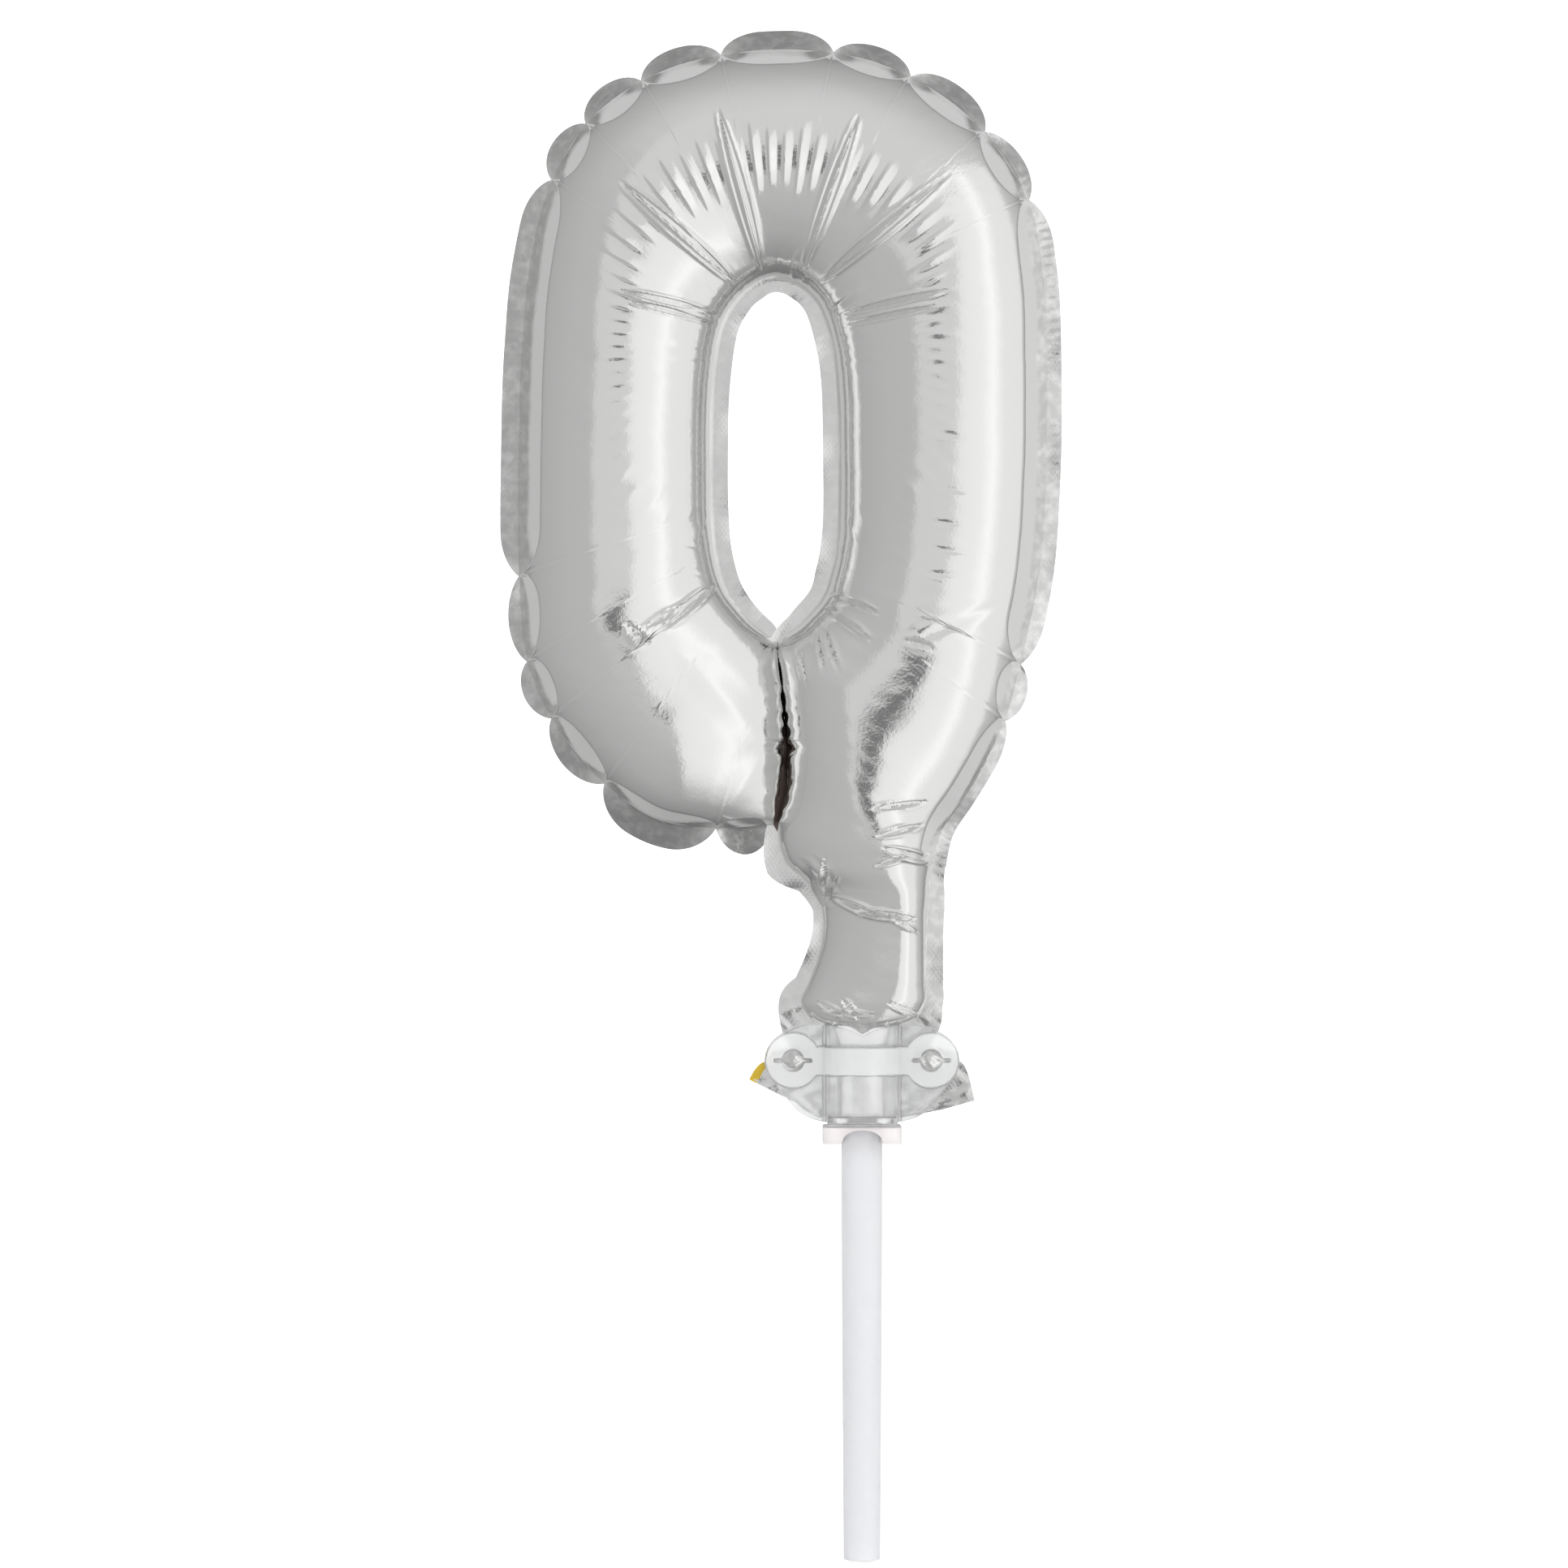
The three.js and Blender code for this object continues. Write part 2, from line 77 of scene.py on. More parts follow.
# Sections from the closed end at the slit, clockwise round the ring and down the neck:
# inner seam x, z, outer seam x, z, half depth, width of the sealed edge inside and outside.
STATIONS = [
    (-10.4, 113.0, -10.9, 90.4, 7.2, 0.5, 0.2),
    (-11.6, 113.9, -18.0, 90.1, 7.45, 1.4, 0.2),
    (-13.4, 115.4, -25.4, 91.2, 7.95, 1.6, 3.2),
    (-15.2, 117.4, -31.7, 95.6, 8.6, 1.7, 0.2),
    (-16.9, 120.4, -38.2, 103.6, 9.65, 1.8, 0.2),
    (-17.8, 124.0, -41.2, 110.6, 10.4, 1.8, 0.2),
    (-18.2, 128.5, -42.2, 121.1, 10.4, 1.8, 0.2),
    (-18.3, 136.0, -42.3, 136.0, 10.4, 1.8, 2.2),
    (-18.1, 144.0, -41.9, 149.0, 10.4, 1.8, 2.2),
    (-17.4, 150.0, -40.9, 159.5, 10.6, 1.8, 2.0),
    (-16.3, 153.2, -38.2, 169.9, 10.9, 1.7, 0.2),
    (-14.7, 155.4, -34.0, 176.8, 11.1, 1.6, 0.2),
    (-13.1, 156.7, -27.2, 182.1, 11.2, 1.6, 0.2),
    (-11.7, 157.4, -17.4, 185.3, 11.3, 1.5, 0.2),
    (-10.6, 157.6, -10.4, 185.9, 11.4, 1.5, 3.0),
    (-9.3, 157.4, -3.5, 185.6, 11.3, 1.5, 0.2),
    (-7.9, 156.8, 6.0, 182.6, 11.2, 1.6, 0.2),
    (-6.4, 155.6, 15.1, 175.8, 11.1, 1.6, 0.2),
    (-5.2, 153.9, 20.5, 167.4, 10.9, 1.7, 0.2),
    (-4.2, 151.0, 22.3, 158.5, 10.7, 1.8, 2.0),
    (-3.3, 146.0, 22.8, 147.5, 10.5, 1.8, 1.6),
    (-3.0, 136.0, 22.7, 134.0, 10.4, 1.8, 1.5),
    (-3.1, 126.5, 21.7, 120.5, 10.4, 1.8, 2.0),
    (-3.9, 121.6, 19.5, 110.3, 10.36, 1.8, 0.2),
    (-5.0, 118.4, 17.6, 103.3, 10.05, 1.7, 0.2),
    (-7.6, 115.4, 14.9, 97.8, 9.7, 1.6, 1.6),
    (-10.3, 112.9, 12.6, 94.0, 9.43, 1.0, 1.5),
    (-10.0, 108.0, 10.8, 91.4, 9.12, 0.2, 1.4),
    (-9.3, 101.0, 9.7, 89.3, 8.73, 0.2, 1.5),
    (-9.2, 95.0, 9.2, 87.4, 8.4, 0.2, 1.6),
    (-10.4, 89.6, 8.9, 85.6, 7.9, 1.5, 1.4),
    (-9.4, 85.8, 8.6, 83.8, 7.3, 2.6, 1.5),
    (-6.6, 83.2, 8.5, 81.9, 6.7, 1.5, 1.7),
    (-5.0, 80.2, 8.3, 80.3, 6.2, 1.1, 1.9),
    (-4.8, 78.4, 8.2, 78.8, 5.9, 1.2, 1.9),
    (-5.5, 74.0, 8.1, 74.0, 5.13, 1.5, 1.9),
    (-6.6, 71.0, 8.0, 71.0, 4.63, 1.7, 2.0),
    (-7.5, 68.6, 7.9, 68.6, 4.2, 2.8, 2.1),
    (-6.6, 66.9, 7.0, 66.9, 3.7, 3.9, 3.1),
    (-3.9, 65.4, 3.9, 65.4, 3.1, 6.6, 6.5),
    (-3.2, 62.4, 3.2, 62.4, 2.85, 8.5, 8.8),
    (-3.15, 59.1, 3.15, 59.1, 2.8, 10.75, 10.15),
    (-3.15, 57.3, 3.15, 57.3, 2.8, 7.2, 10.55),
    (-3.15, 56.5, 3.15, 56.5, 2.8, 5.4, 10.75),
    (-3.15, 55.4, 3.15, 55.4, 2.8, 4.0, 6.8),
    (-3.15, 54.4, 3.15, 54.4, 2.8, 2.2, 1.6),
]
# Stations where the rim is pinched, in order, so that a scallop lies between each two.
PINCHES = [0, 1, 3, 4, 5, 6, 10, 11, 12, 13, 15, 16, 17, 18, 23, 24, 30]
# Facet width in mm in each stretch between two pinches.
FACETS = [1.2, 1.6, 2.2, 2.5, 2.9, 3.2, 2.9, 3.0, 2.9, 2.6, 2.6, 2.8, 3.0, 3.1, 2.5, 2.2]
# Width in mm of the sealed edge in the middle of each such stretch.
CRESTS = [3.4, 3.2, 2.2, 1.9, 1.6, 2.2, 2.2, 2.4, 2.6, 2.9, 2.4, 2.6, 1.9, 1.8, 1.7, 1.5]
NECK_STATION = 30  # from here down the sealed edges have straight sides
SCALLOP_TAPER = 1.5  # 1 would give round ends
SCALLOP_END = 5.5  # how long the rounded end of a long stretch is
FACET_CROWN = 0.12  # how far the middle of a facet bulges
THIN_FACET = 0.12  # the facet's width at a pinch
SQUARENESS = 2.25  # 2 would give an elliptical section
# How far the crown leans to the outside, as a share of the half width.
CROWN_STATIONS = (0, 4, 8, 10, 12, 16, 18, 20, 24, 28, 32, 36, 39, 43)
CROWN_SHIFTS = (0.0, 0.0, 0.0, 0.18, 0.34, 0.34, 0.18, 0.03, -0.06, -0.08, 0.42, 0.45, 0.1, 0.0)
FINE_STRETCHES = ((8, 20, 0.22), (29, 38, 0.13))  # first and last station, spacing
SPACING = 0.36  # between the columns of the grid along the rim
ARC_ROWS = 84  # rows across the tube, from the inner seam to the facet's crease
FACET_ROWS = 14
EDGE_ROWS = 10  # rows across the sealed edge
FILM_GAP = 0.04  # from the middle plane to each film
SLIT_ROUND = 12.5  # how far from the slit the closed end is rounded
SLIT_DEPTH = 1.2  # half depth of the closed end at the slit
SLIT_BOW = 1.15  # how far the closed end bows towards the neck in its middle
SLIT_BOW_REACH = 16.0


def knots_of(rows):
    """How far along the tube each station is, by the longer of its two seams' steps."""
    inner_step = np.linalg.norm(np.diff(rows[:, 0:2], axis=0), axis=1)
    outer_step = np.linalg.norm(np.diff(rows[:, 2:4], axis=0), axis=1)
    return np.concatenate([[0], np.cumsum(np.maximum(inner_step, outer_step))])


def smooth_curve(knots, rows, at):
    """Cubic Hermite curve through the rows, at the places asked for."""
    h = np.diff(knots)[:, None]
    slope = np.diff(rows, axis=0) / h
    tangent = np.empty_like(rows)
    tangent[1:-1] = (slope[1:] * h[:-1] + slope[:-1] * h[1:]) / (h[1:] + h[:-1])
    tangent[0], tangent[-1] = slope[0], slope[-1]
    i = np.clip(np.searchsorted(knots, at, side="right") - 1, 0, len(h) - 1)
    t = ((at - knots[i]) / h[i, 0])[:, None]
    h00, h10 = 2 * t**3 - 3 * t**2 + 1, t**3 - 2 * t**2 + t
    h01, h11 = -2 * t**3 + 3 * t**2, t**3 - t**2
    return h00 * rows[i] + h10 * h[i] * tangent[i] + h01 * rows[i + 1] + h11 * h[i] * tangent[i + 1]


def columns_of(knots):
    """Places along the tube, with every station on one of them, and the stations' indices."""
    at, index = [knots[0]], [0]
    for a, b in zip(knots[:-1], knots[1:]):
        spacing = SPACING
        for first, last, fine in FINE_STRETCHES:
            if first <= len(index) - 1 < last:
                spacing = fine
        steps = max(2, round((b - a) / spacing))
        at += list(np.linspace(a, b, steps + 1)[1:])
        index.append(len(at) - 1)
    return np.array(at), index


def rounded(t):
    """A quarter circle's height, from 0 at its end to 1 at its top."""
    return np.sqrt(np.clip(1 - (1 - t) ** 2, 0, 1))


def rim_spans(columns, station_index):
    """For each column: the facet's width, the share of the full width that the sealed edge has
    there, and that full width."""
    facet = np.zeros(len(columns))
    share = np.ones(len(columns))
    crest = np.zeros(len(columns))
    for first, last, width, wide in zip(PINCHES[:-1], PINCHES[1:], FACETS, CRESTS):
        a, b = station_index[first], station_index[last]
        length = columns[b] - columns[a]
        t = (columns[a : b + 1] - columns[a]) / length
        bow = rounded(np.minimum(1, np.minimum(t, 1 - t) * length / min(length / 2, SCALLOP_END)))
        facet[a : b + 1] = width * bow
        if last == NECK_STATION:
            bow = rounded(np.minimum(1, t * length / SCALLOP_END))
        share[a : b + 1] = bow**SCALLOP_TAPER
        crest[a : b + 1] = wide
    return facet, share, crest


def tube_grid():
    """The points of one film's tube in the front half space, columns by rows, the two seams with
    the widths of the sealed edges beside them, and the column of each station."""
    rows = np.array(STATIONS, float)
    knots = knots_of(rows)
    columns, station_index = columns_of(knots)
    smooth = smooth_curve(knots, rows, columns)
    neck = columns > knots[NECK_STATION]
    for k in (4, 5, 6):
        smooth[neck, k] = np.interp(columns[neck], knots, rows[:, k])
    inner, outer = smooth[:, 0:2], smooth[:, 2:4]
    depth = smooth[:, 4]
    facet, share, crest = rim_spans(columns, station_index)
    facet = np.clip(facet, THIN_FACET, None)

    # The closed end is rounded into the slit.
    middle = 0.5 * (inner + outer)
    run = np.concatenate([[0], np.cumsum(np.linalg.norm(np.diff(middle, axis=0), axis=1))])
    near = np.clip(1 - run / SLIT_ROUND, 0, 1)
    depth = SLIT_DEPTH + (depth - SLIT_DEPTH) * np.sqrt(np.clip(1 - near**2, 0, 1))
    bow = SLIT_BOW * np.clip(1 - run / SLIT_BOW_REACH, 0, 1) ** 2

    across = outer - inner
    width = np.linalg.norm(across, axis=1)
    direction = across / width[:, None]
    half = width / 2
    facet = np.minimum(facet, 0.5 * half)

    # Rows as shares of the way across: an even arc, then the flat facet beside the rim.
    crease_angle = np.pi - np.arccos(1 - facet / half)
    angle = crease_angle[:, None] * np.linspace(0, 1, ARC_ROWS + 1)[None, :]
    along = half[:, None] * (1 - np.cos(angle))
    crown = np.interp(columns, knots[list(CROWN_STATIONS)], CROWN_SHIFTS)[:, None]
    arc = along / half[:, None] - 1 - crown
    arc = np.abs(arc) / (1 + np.sign(arc) * -crown)
    height = depth[:, None] * (1 - arc**SQUARENESS) ** (1 / SQUARENESS)
    t = np.linspace(0, 1, FACET_ROWS + 1)[None, 1:]
    facet_along = along[:, -1:] + (width[:, None] - along[:, -1:]) * t
    crown_height = FACET_CROWN * np.minimum(1, facet / 2)[:, None]
    facet_height = height[:, -1:] * (1 - t) + crown_height * 4 * t * (1 - t)
    along = np.concatenate([along, facet_along], axis=1)
    height = np.concatenate([height, facet_height], axis=1)

    aside = bow[:, None] * np.sin(np.pi * along / width[:, None])
    x = inner[:, 0:1] + direction[:, 0:1] * along - direction[:, 1:2] * aside
    z = inner[:, 1:2] + direction[:, 1:2] * along + direction[:, 0:1] * aside
    tube = np.stack([x, -FILM_GAP - height, z], axis=2)
    edges = {
        "inner": (inner, smooth[:, 5], np.ones(len(columns))),
        "outer": (outer, np.where(crest > 0, crest, smooth[:, 6]), share),
    }
    return tube, edges, station_index


SHARP = math.radians(32)  # a fold sharper than this has a hard crease
MERGE = 0.004 * MM  # points of the grids closer than this are one


def linked_piece(name, mesh):
    """A smooth object with this mesh, in the scene."""
    mesh.polygons.foreach_set("use_smooth", [True] * len(mesh.polygons))
    piece = bpy.data.objects.new(name, mesh)
    bpy.context.scene.collection.objects.link(piece)
    return piece


def closed_piece(name, vertices, faces, merge=0.0):
    """A smooth object whose faces all point outwards; points closer than merge are joined."""
    mesh = bpy.data.meshes.new(name)
    mesh.from_pydata(vertices, [], faces)
    bm = bmesh.new()
    bm.from_mesh(mesh)
    if merge > 0:
        bmesh.ops.remove_doubles(bm, verts=bm.verts, dist=merge)
    bmesh.ops.recalc_face_normals(bm, faces=bm.faces)
    bm.to_mesh(mesh)
    bm.free()
    return linked_piece(name, mesh)


def grid_mesh(name, grids):
    """One mesh from several grids of points in mm, each with its material's number; points that
    coincide are merged."""
    vertices, faces, start, numbers = [], [], 0, []
    for points, material in grids:
        n, m = points.shape[:2]
        vertices.append(points.reshape(-1, 3))
        i, j = np.meshgrid(np.arange(n - 1), np.arange(m - 1), indexing="ij")
        a = start + i * m + j
        quad = np.stack([a, a + 1, a + m + 1, a + m], axis=2).reshape(-1, 4)
        faces.append(quad)
        numbers += [material] * len(quad)
        start += n * m
    mesh = bpy.data.meshes.new(name)
    mesh.from_pydata(np.concatenate(vertices) * MM, [], np.concatenate(faces).tolist())
    mesh.polygons.foreach_set("material_index", numbers)
    bm = bmesh.new()
    bm.from_mesh(mesh)
    bmesh.ops.remove_doubles(bm, verts=bm.verts, dist=MERGE)
    bmesh.ops.dissolve_degenerate(bm, edges=bm.edges, dist=MERGE)
    bmesh.ops.recalc_face_normals(bm, faces=bm.faces)
    for edge in bm.edges:
        edge.smooth = edge.calc_face_angle(math.pi) < SHARP
    bm.to_mesh(mesh)
    bm.free()
    return linked_piece(name, mesh)


# --- Creases ---------------------------------------------------------------------------------

EYE_CENTRE = (-10.5, 148.5)  # centre of the arc at the top of the eye
FLUTE_TURN, SEAM_TURN = math.radians(5.1), math.radians(8.3)  # from one flute to the next
FLUTE_DEPTH, SEAM_DEPTH = 0.34, 0.2
FLUTE_RADIUS = 24.6  # the middle of the flutes above the eye
FLUTE_ASIDE = 19.9  # beside the eye, their distance from its middle line
# Folded pleats as x, z of both ends, width and depth, all in mm. The four long ones come first,
# and a negative depth makes a soft ridge.
PLEATS = [
    (-17.6, 177.4, -12.3, 158.4, 0.75, 0.62),
    (-0.6, 176.8, -7.2, 158.6, 0.75, 0.62),
    (-29.4, 168.6, -15.7, 156.8, 0.75, 0.6),
    (10.4, 169.6, -4.9, 157.0, 0.75, 0.6),
    (-29.6, 155.5, -18.4, 153.2, 0.45, 0.3),
    (-28.9, 154.3, -18.2, 151.9, 0.4, 0.25),
    (10.2, 155.6, -2.4, 152.9, 0.45, 0.3),
    (9.2, 153.7, -2.2, 151.6, 0.4, 0.25),
    (-24.6, 114.2, -18.2, 119.9, 0.7, 0.45),
    (-26.8, 114.4, -21.6, 117.4, 0.5, 0.35),
    (2.1, 116.2, -4.0, 118.9, 0.5, 0.35),
    (1.1, 112.9, -4.6, 117.2, 0.5, 0.4),
    (-3.0, 109.2, -4.9, 115.2, 0.4, 0.35),
    (-4.8, 109.0, -5.6, 114.4, 0.4, 0.35),
    (-6.8, 107.2, -7.8, 112.0, 0.35, 0.25),
    (1.0, 92.4, 8.4, 93.4, 0.5, 0.35),
    (1.6, 89.0, 7.6, 90.6, 0.5, 0.35),
    (2.6, 87.6, 8.8, 86.0, 0.6, 0.45),
    (1.4, 85.4, 6.0, 87.0, 0.4, 0.3),
    (-4.6, 86.6, -4.8, 81.6, 0.4, 0.4),
    (-3.0, 84.4, -4.4, 81.2, 0.4, 0.35),
    (-6.2, 84.0, -4.6, 80.4, 0.4, 0.35),
    (2.8, 79.6, 7.0, 77.2, 0.35, 0.3),
    (-5.6, 68.8, -2.0, 66.9, 0.4, 0.35),
    (-2.6, 69.2, -0.4, 66.6, 0.4, 0.35),
    (3.2, 68.6, 6.6, 67.4, 0.4, 0.35),
    (-4.2, 67.6, 1.6, 67.2, 0.35, 0.3),
    (5.8, 112.6, 17.0, 117.6, 1.1, 0.16),
    (5.2, 112.9, 8.6, 112.2, 0.6, 0.25),
    (8.6, 131.6, 14.6, 130.8, 0.5, 0.05),
    (8.2, 127.4, 13.2, 127.0, 0.5, 0.05),
    (7.9, 124.2, 14.2, 123.4, 0.5, 0.06),
    (7.4, 121.2, 12.6, 120.8, 0.5, 0.06),
    (8.8, 138.2, 13.6, 137.6, 0.5, 0.05),
    (-22.6, 124.8, -19.8, 124.4, 0.4, 0.1),
    (-23.4, 121.6, -19.4, 121.0, 0.4, 0.1),
    (-28.8, 114.9, -26.0, 112.4, 0.7, 0.6),
    (-7.6, 86.4, -3.4, 80.4, 0.9, 0.18),
    (-6.2, 86.9, -2.6, 82.2, 0.7, 0.12),
    (-3.6, 81.6, 2.2, 79.2, 0.5, 0.45),
    (-1.0, 79.9, 6.6, 79.0, 0.5, 0.4),
    (-23.0, 112.0, -11.2, 100.1, 2.0, -0.1),
    (-17.6, 91.4, -11.2, 99.9, 2.0, -0.1),
]


def pleat(x, z, x0, z0, x1, z1, width, depth):
    """A sharp fold with a small ridge on each side, tapering to a point at both ends."""
    dx, dz = x1 - x0, z1 - z0
    length = math.hypot(dx, dz)
    t = ((x - x0) * dx + (z - z0) * dz) / length**2
    aside = ((x - x0) * dz - (z - z0) * dx) / length
    taper = np.sin(np.pi * np.clip(t, 0, 1)) ** 0.6
    s = aside / (width * (0.3 + 0.7 * taper))
    fold = np.exp(-((s / 0.45) ** 2))
    ridges = np.exp(-(((s - 1.15) / 0.45) ** 2)) + np.exp(-(((s + 1.15) / 0.45) ** 2))
    return depth * taper * (0.5 * ridges - fold)


def clear_of_pleats(x, z):
    """Zero along the four long pleats and one away from them, so that the flutes stop at them."""
    clear = 1.0
    for x0, z0, x1, z1, width, _ in PLEATS[:4]:
        dx, dz = x1 - x0, z1 - z0
        length = math.hypot(dx, dz)
        t = np.clip(((x - x0) * dx + (z - z0) * dz) / length**2, 0, 1)
        gap = np.hypot(x - x0 - t * dx, z - z0 - t * dz)
        clear = clear * smooth_step(gap, width, 2.2 * width)
    return clear


def hashed(index, seed):
    """A repeatable random number from 0 to 1 for each whole number."""
    value = np.sin(index * 12.9898 + seed * 78.233) * 43758.5453
    return value - np.floor(value)


def smooth_step(value, low, high):
    """0 up to low, 1 from high on, and an easy slope between."""
    t = np.clip((value - low) / (high - low), 0, 1)
    return t * t * (3 - 2 * t)


def fluting(turn, steep, flat):
    """One flute for each whole turn: flat, then a steep rise, then a long slope down."""
    p = turn - np.floor(turn)
    rise = smooth_step(p, flat, flat + steep)
    fall = np.clip((1 - p) / (1 - flat - steep), 0, 1)
    return np.minimum(rise, fall)


def ripples(x, z, phase):
    """Radial flutes in a ring round the top of the eye, and short ones beside its seam."""
    dx, dz = x - EYE_CENTRE[0], z - EYE_CENTRE[1]
    radius = np.hypot(dx, dz)
    angle = np.arctan2(dx, dz)
    turn = angle / FLUTE_TURN + 0.35 * np.sin(4.1 * angle + phase) + phase
    index = np.floor(turn)
    upright = np.clip(np.cos(angle), 0, 1)
    middle = np.minimum(FLUTE_RADIUS, FLUTE_ASIDE / np.maximum(np.abs(np.sin(angle)), 0.1))
    start = middle + 1.0 + 1.9 * upright**2 + 1.0 * (hashed(index, phase) - 0.5)
    end = middle - 0.6 - 1.6 * upright - 2.5 * upright * hashed(index, phase + 1) ** 2
    fade_out = 1 - smooth_step(radius, start - 2.0 - 2.4 * upright, start + 0.8)
    ring = fade_out * smooth_step(radius, end - 3.2, end + 1.0)
    reach = np.clip(2.0 - np.abs(angle) / math.radians(42), 0.2, 1)
    outer = FLUTE_DEPTH * fluting(turn, 0.2, 0.34) * ring * (0.65 + 0.5 * hashed(index, phase + 2)) * reach

    turn = angle / SEAM_TURN + phase
    index = np.floor(turn)
    start = 12.0 + 2.0 * hashed(index, phase + 3)
    ring = (1 - smooth_step(radius, start - 1.5, start)) * smooth_step(radius, 7.9, 9.5)
    reach = np.clip(2.6 - np.abs(angle) / math.radians(45), 0, 1)
    inner = SEAM_DEPTH * fluting(turn, 0.4, 0.1) * ring * hashed(index, phase + 4) * reach
    return (outer + inner) * clear_of_pleats(x, z)


# The line of the slit, as z and x, and its folds.
SLIT_LINE = [(88.0, -11.2), (91.5, -10.6), (94.8, -9.8), (99.9, -9.6), (106.3, -10.1), (109.6, -10.9),
             (113.0, -11.2)]
SLIT_FOLD_STEP, SLIT_FOLD_DEPTH = 2.5, 0.28
SLIT_PINCH_Z, SLIT_PINCH_WIDTH, SLIT_PINCH_DEPTH = 99.9, 0.45, 0.38


def slit_crumples(x, z, phase):
    """Small folds that run into the slit from both sides."""
    zs, xs = np.array(SLIT_LINE).T
    aside = x - np.interp(z, zs, xs)
    inside = smooth_step(z, 89.0, 91.5) * (1 - smooth_step(z, 108.5, 112.5))
    side = np.where(aside > 0, 1.0, 0.0)
    turn = z / SLIT_FOLD_STEP + 0.3 * np.sin(z / 1.7 + 2.5 * side) + 0.4 * side + phase
    reach = 1.2 + 1.6 * hashed(np.floor(turn), phase + side)
    near = np.clip(1 - np.abs(aside) / reach, 0, 1)
    fold = SLIT_FOLD_DEPTH * (fluting(turn, 0.4, 0.1) - 0.5) * near
    fold = fold * (0.4 + 0.6 * hashed(np.floor(turn), phase + 3 + side))
    pinch = np.exp(-(((z - SLIT_PINCH_Z) / SLIT_PINCH_WIDTH) ** 2)) * np.clip(1 - np.abs(aside) / 3.2, 0, 1)
    return inside * (fold - SLIT_PINCH_DEPTH * pinch)


BROAD_WAVE, MIDDLE_WAVE, FINE_WAVE = 0.03, 0.009, 0.0035


def wobble(x, z, phase):
    """The faint unevenness of stretched film, in three sizes of wave."""
    broad = np.sin(0.55 * z + 0.8 * np.sin(0.21 * x + phase)) * np.sin(0.31 * x + 0.17 * z + phase)
    middle = np.sin(1.9 * z + 1.3 * np.sin(0.5 * x + 2 * phase)) * np.sin(0.8 * x + 0.33 * z)
    fine = np.sin(4.3 * z + 1.9 * np.sin(1.1 * x + phase)) * np.sin(1.7 * x - 0.6 * z + phase)
    return BROAD_WAVE * broad + MIDDLE_WAVE * middle + FINE_WAVE * fine


def normals_of(points):
    """The unit normals of a grid of points, on the side that faces the front."""
    along = np.gradient(points, axis=0)
    across = np.gradient(points, axis=1)
    normal = np.cross(along, across)
    normal /= np.maximum(np.linalg.norm(normal, axis=2, keepdims=True), 1e-9)
    return normal if normal[..., 1].mean() < 0 else -normal


CREASE_HOLD = 0.8  # creases fade out where the film is lower than this, beside its seams


def creased(tube, phase):
    """The tube with its pleats, flutes, crumples and unevenness."""
    x, z = tube[..., 0], tube[..., 2]
    height = -tube[..., 1] - FILM_GAP
    lift = ripples(x, z, phase)
    for row in PLEATS:
        lift = lift + pleat(x, z, *row)
    lift = lift + slit_crumples(x, z, phase) + wobble(x, z, phase)
    hold = np.clip(height / CREASE_HOLD, 0, 1)
    return tube + normals_of(tube) * (lift * hold)[..., None]


# --- Sealed edge -----------------------------------------------------------------------------

LEAN_RIGHT, LEAN_LEFT, LEAN_TOP, LEAN_FOOT = 6.0, 11.0, 56.0, 50.0  # degrees backwards
RUFFLE_STEP = 1.15  # from one ruffle to the next
WAVE_STEP, WAVE_HEIGHT = 13.0, 0.12  # the long wave of the edge
RUFFLE_FADE, LEAN_FADE = (82, 90), (84, 92)  # heights where the neck's plainer edges begin
TAIL_TOP = (66, 70)  # below this the edges are the crushed tail, pressed in the clip
TAIL_CRUSH = 0.11


def edge_grid(seam, width, share, outwards, ruffle_height):
    """The flat sealed edge beside a seam. The outer one leans back, most at the ring's top and
    foot, both are ruffled across their width, and the tail below the neck is crushed."""
    tangent = np.gradient(seam, axis=0)
    tangent /= np.maximum(np.linalg.norm(tangent, axis=1, keepdims=True), 1e-9)
    side = np.stack([-tangent[:, 1], tangent[:, 0]], axis=1) * outwards
    run = np.concatenate([[0], np.cumsum(np.linalg.norm(np.diff(seam, axis=0), axis=1))])
    t = 1 - (1 - np.linspace(0, 1, EDGE_ROWS + 1)[None, :]) ** 1.35
    reach = np.maximum(width * share, 0.1)[:, None] * t
    x = seam[:, 0:1] + side[:, 0:1] * reach
    z = seam[:, 1:2] + side[:, 1:2] * reach
    turn = run / RUFFLE_STEP + 0.5 * np.sin(run / 3.1)
    ruffle = ruffle_height * (fluting(turn, 0.4, 0.2) - 0.4) * (0.4 + 0.6 * hashed(np.floor(turn), 0))
    ruffle = ruffle * smooth_step(seam[:, 1], *RUFFLE_FADE)
    wave = WAVE_HEIGHT * np.sin(2 * np.pi * run / WAVE_STEP) * smooth_step(seam[:, 1], *TAIL_TOP)
    y = ruffle[:, None] * np.sin(np.pi * np.clip(t, 0, 1)) + wave[:, None] * t**1.5
    if outwards > 0:
        level = side[:, 0] ** 10  # how far the rim runs up the sides
        beside = np.where(side[:, 0] > 0, LEAN_RIGHT, LEAN_LEFT)
        lean = level * beside + (1 - level) * np.where(side[:, 1] > 0, LEAN_TOP, LEAN_FOOT)
        lean = beside + (lean - beside) * smooth_step(seam[:, 1], *LEAN_FADE)
        y = y + np.tan(np.radians(lean))[:, None] * reach
    free = smooth_step(seam[:, 1], *TAIL_TOP)[:, None]
    tail = np.sin(2.3 * x + 1.1 * np.sin(1.9 * z)) * np.sin(1.7 * z + 0.8 * x)
    tail = TAIL_CRUSH * tail
    y = y * free + tail * (1 - free) * np.clip(reach / 1.5, 0, 1)
    return np.stack([x, -FILM_GAP + y * np.minimum(1, share)[:, None], z], axis=2)


# --- Materials -------------------------------------------------------------------------------


